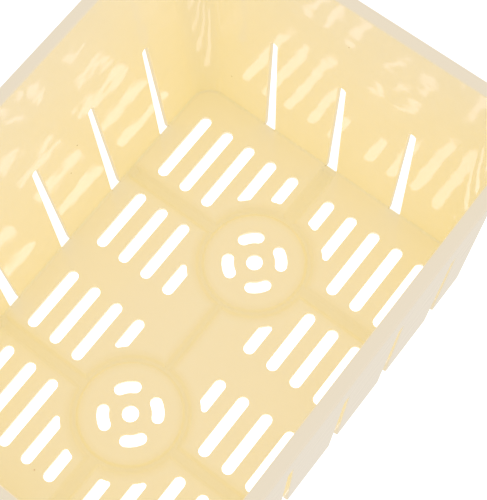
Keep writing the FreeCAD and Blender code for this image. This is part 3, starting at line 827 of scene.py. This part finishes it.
def rims(material):
    for back, sign in (("back", 1), ("front", -1)):
        stations = np.linspace(-LONG_RUN, LONG_RUN, LONG_RIM_STATIONS)
        rim(f"long_rim_{back}", along_side(0, sign, HALF_WIDTH), stations, material)
    for right, sign in (("right", 1), ("left", -1)):
        stations = np.linspace(-END_RUN, END_RUN, END_RIM_STATIONS)
        rim(f"end_rim_{right}", along_side(1, sign, HALF_LENGTH), stations, material)
    for back, sign_y in (("back", 1), ("front", -1)):
        for right, sign_x in (("right", 1), ("left", -1)):
            place = around_corner(sign_x, sign_y)
            rim(f"corner_rim_{back}_{right}", place, CORNER_ANGLES, material)


# ---------------------------------------------------------------- material
IVORY = (0.955, 0.895, 0.81, 1)
WARM_IVORY = (0.93, 0.84, 0.68, 1)      # the cloudy tint mixed into the ivory
# painted shade: the darker ivory laid into the gutters, where the recesses fall into shade
PAINTED_GUTTER_SHADE_IVORY = (0.915, 0.84, 0.69, 1)
SPECK = (0.35, 0.26, 0.15, 1)
GLOW = (1.0, 0.82, 0.13, 1)
GLOW_STRENGTH = 0.165                   # painted light: the plastic glows, standing for the light that comes through it
CLOUD_SCALE = 22.0
CLOUD_SHARE = 0.25
CELL_SCALE = 55.0                       # one speck at most in a cell
SPECK_SIZE = 0.014                      # of a cell
WAVE_SCALE = 95.0
WAVE_HEIGHT = 0.00022                   # m
# A painted shade in the gutters is (full, none): how far from its middle it starts to fade and where
# it ends, in mm.
RING_SHADE = (0.8, 4.4)
CROSS_SHADE = (1.2, 5.4)
ALONG_SHADE = (0.8, 4.4)
SHADE_HEIGHT = (FLOOR_TOP + 0.2, FLOOR_TOP + 1.2)


def maths(tree, operation, *values):
    """Result of a maths node. Each value is a number or another node's output."""
    made = tree.nodes.new("ShaderNodeMath")
    made.operation = operation
    for socket, given in zip(made.inputs, values):
        if isinstance(given, (int, float)):
            socket.default_value = given
        else:
            tree.links.new(given, socket)
    return made.outputs[0]


def fade(tree, given, full, none):
    """1 up to the length full, falling softly to 0 at the length none."""
    made = tree.nodes.new("ShaderNodeMapRange")
    made.interpolation_type = "SMOOTHSTEP"
    made.inputs["From Min"].default_value = none * MM
    made.inputs["From Max"].default_value = full * MM
    tree.links.new(given, made.inputs["Value"])
    return made.outputs["Result"]


def painted_gutter_shade(tree, place):
    """How much painted shade the colour takes: 1 along the gutters, fading out over the floor beside
    them.
    """
    split = tree.nodes.new("ShaderNodeSeparateXYZ")
    tree.links.new(place, split.inputs[0])
    x = maths(tree, "ABSOLUTE", split.outputs["X"])
    y = maths(tree, "ABSOLUTE", split.outputs["Y"])
    from_disc = maths(tree, "SUBTRACT", x, DISC_X * MM)
    x_square = maths(tree, "MULTIPLY", from_disc, from_disc)
    y_square = maths(tree, "MULTIPLY", y, y)
    radius = maths(tree, "SQRT", maths(tree, "ADD", x_square, y_square))
    off_ring = maths(tree, "SUBTRACT", radius, (DISC_RADIUS + RING_RADIUS) / 2 * MM)
    off_cross = maths(tree, "SUBTRACT", x, (CROSS_LOW + CROSS_HIGH) / 2 * MM)
    ring = fade(tree, maths(tree, "ABSOLUTE", off_ring), *RING_SHADE)
    cross = fade(tree, maths(tree, "ABSOLUTE", off_cross), *CROSS_SHADE)
    along = fade(tree, y, *ALONG_SHADE)
    clear = fade(tree, radius, RING_RADIUS, DISC_RADIUS)
    bands = maths(tree, "MULTIPLY", maths(tree, "MAXIMUM", cross, along), clear)
    low = fade(tree, split.outputs["Z"], *SHADE_HEIGHT)
    return maths(tree, "MULTIPLY", maths(tree, "MAXIMUM", ring, bands), low)


def mixed(tree, factor, first, second):
    """Colour between two, each a colour or another node's output."""
    made = tree.nodes.new("ShaderNodeMix")
    made.data_type = "RGBA"
    tree.links.new(factor, made.inputs["Factor"])
    for name, given in (("A", first), ("B", second)):
        if isinstance(given, tuple):
            made.inputs[name].default_value = given
        else:
            tree.links.new(given, made.inputs[name])
    return made.outputs["Result"]


def ivory_plastic():
    """Glossy moulded plastic: pale ivory, a slightly wavy polish, a few tiny specks, painted shade in
    the gutters and a painted glow for the light that comes through the plastic.
    """
    material = bpy.data.materials.new("ivory_plastic")
    material.use_nodes = True
    tree = material.node_tree
    nodes, links = tree.nodes, tree.links
    shader = nodes["Principled BSDF"]
    shader.inputs["Roughness"].default_value = 0.07
    shader.inputs["IOR"].default_value = 1.5
    # painted light: a weak glow over all the plastic
    shader.inputs["Emission Color"].default_value = GLOW
    shader.inputs["Emission Strength"].default_value = GLOW_STRENGTH

    place = nodes.new("ShaderNodeTexCoord")
    cloud = nodes.new("ShaderNodeTexNoise")
    cloud.inputs["Scale"].default_value = CLOUD_SCALE
    cloud.inputs["Detail"].default_value = 2.0
    links.new(place.outputs["Object"], cloud.inputs["Vector"])
    patchy = maths(tree, "MULTIPLY", cloud.outputs["Fac"], CLOUD_SHARE)
    ivory = mixed(tree, patchy, IVORY, WARM_IVORY)
    # painted shade: the floor's colour turns darker along the gutters and low down in them
    shade = painted_gutter_shade(tree, place.outputs["Object"])
    tint = mixed(tree, shade, ivory, PAINTED_GUTTER_SHADE_IVORY)

    cells = nodes.new("ShaderNodeTexVoronoi")
    cells.inputs["Scale"].default_value = CELL_SCALE
    links.new(place.outputs["Object"], cells.inputs["Vector"])
    speck = maths(tree, "LESS_THAN", cells.outputs["Distance"], SPECK_SIZE)
    links.new(mixed(tree, speck, tint, SPECK), shader.inputs["Base Color"])

    waves = nodes.new("ShaderNodeTexNoise")
    waves.inputs["Scale"].default_value = WAVE_SCALE
    waves.inputs["Detail"].default_value = 1.0
    waves.inputs["Roughness"].default_value = 0.35
    links.new(place.outputs["Object"], waves.inputs["Vector"])
    polish = nodes.new("ShaderNodeBump")
    polish.inputs["Strength"].default_value = 1.0
    polish.inputs["Distance"].default_value = WAVE_HEIGHT
    links.new(waves.outputs["Fac"], polish.inputs["Height"])
    links.new(polish.outputs["Normal"], shader.inputs["Normal"])
    return material


# ---------------------------------------------------------------- camera and studio, in metres
EYE = (-0.1048, -0.1166, 0.4719)
TARGET = (0.0360, 0.0059, 0.0028)
ROLL = math.radians(-3.6)
LENS = 102.3                            # mm
SENSOR = 36                             # mm
GROUND_HALF = 3.0
GROUND_HEIGHT = -0.0004                 # just below the tray, which stands at 0
TABLE_HEIGHT = -0.0002
WHITE = (1, 1, 1, 1)
TABLE_COLOUR = (1, 0.86, 0.97, 1)
WORLD_COLOUR = (1, 0.955, 0.985, 1)
WORLD_STRENGTH = 0.665


def add_camera():
    data = bpy.data.cameras.new("camera")
    data.sensor_width = SENSOR
    data.lens = LENS
    camera = bpy.data.objects.new("camera", data)
    bpy.context.scene.collection.objects.link(camera)
    eye = Vector(EYE)
    aim = (Vector(TARGET) - eye).to_track_quat("-Z", "Y").to_matrix()
    roll = Matrix.Rotation(ROLL, 3, "Z")
    camera.matrix_world = Matrix.Translation(eye) @ (aim @ roll).to_4x4()
    bpy.context.scene.camera = camera


def add_light(name, place, target, side, power):
    """A soft square light that faces the target."""
    data = bpy.data.lights.new(name, "AREA")
    data.shape = "RECTANGLE"
    data.size = side
    data.size_y = side
    data.energy = power
    light = bpy.data.objects.new(name, data)
    bpy.context.scene.collection.objects.link(light)
    light.location = place
    light.rotation_mode = "QUATERNION"
    light.rotation_quaternion = (Vector(target) - Vector(place)).to_track_quat("-Z", "Y")


def add_sheet(name, half_x, half_y, height, colour, glow):
    """A flat glowing sheet below the tray, part of the studio and not of the object."""
    mesh = bpy.data.meshes.new(name)
    corners = [(-half_x, -half_y, height), (half_x, -half_y, height),
               (half_x, half_y, height), (-half_x, half_y, height)]
    mesh.from_pydata(corners, [], [(0, 1, 2, 3)])
    sheet = bpy.data.objects.new(name, mesh)
    bpy.context.scene.collection.objects.link(sheet)
    material = bpy.data.materials.new(name)
    material.use_nodes = True
    shader = material.node_tree.nodes["Principled BSDF"]
    shader.inputs["Base Color"].default_value = (0.9, 0.9, 0.9, 1)
    shader.inputs["Roughness"].default_value = 0.9
    shader.inputs["Emission Color"].default_value = colour
    shader.inputs["Emission Strength"].default_value = glow
    mesh.materials.append(material)
    sheet.visible_diffuse = False
    return sheet


def add_studio():
    """A white ground, a brighter sheet that the slots show, three soft lights and the world."""
    ground = add_sheet("ground", GROUND_HALF, GROUND_HALF, GROUND_HEIGHT, WHITE, glow=0.72)
    ground.visible_glossy = False
    half_x, half_y = HALF_LENGTH * MM, HALF_WIDTH * MM
    add_sheet("light_table", half_x, half_y, TABLE_HEIGHT, TABLE_COLOUR, glow=1.35)
    add_light("top", place=(0.1, 0, 1.3), target=(0, 0, 0), side=1.2, power=0.2)
    add_light("front", place=(0.2, -1.1, 0.7), target=(0, 0, 0.05), side=0.8, power=0.5)
    add_light("left", place=(-1.1, 0.0, 0.7), target=(0, 0, 0.05), side=0.8, power=0.2)
    world = bpy.data.worlds.new("studio")
    bpy.context.scene.world = world
    world.use_nodes = True
    background = world.node_tree.nodes["Background"]
    background.inputs["Color"].default_value = WORLD_COLOUR
    background.inputs["Strength"].default_value = WORLD_STRENGTH
    bpy.context.scene.view_settings.view_transform = "Standard"


plastic = ivory_plastic()
corner_panel(plastic)
centre_panel(plastic)
vent_disc(plastic)
ring_gutter(plastic)
gutters(plastic)
walls(plastic)
rims(plastic)
add_camera()
add_studio()
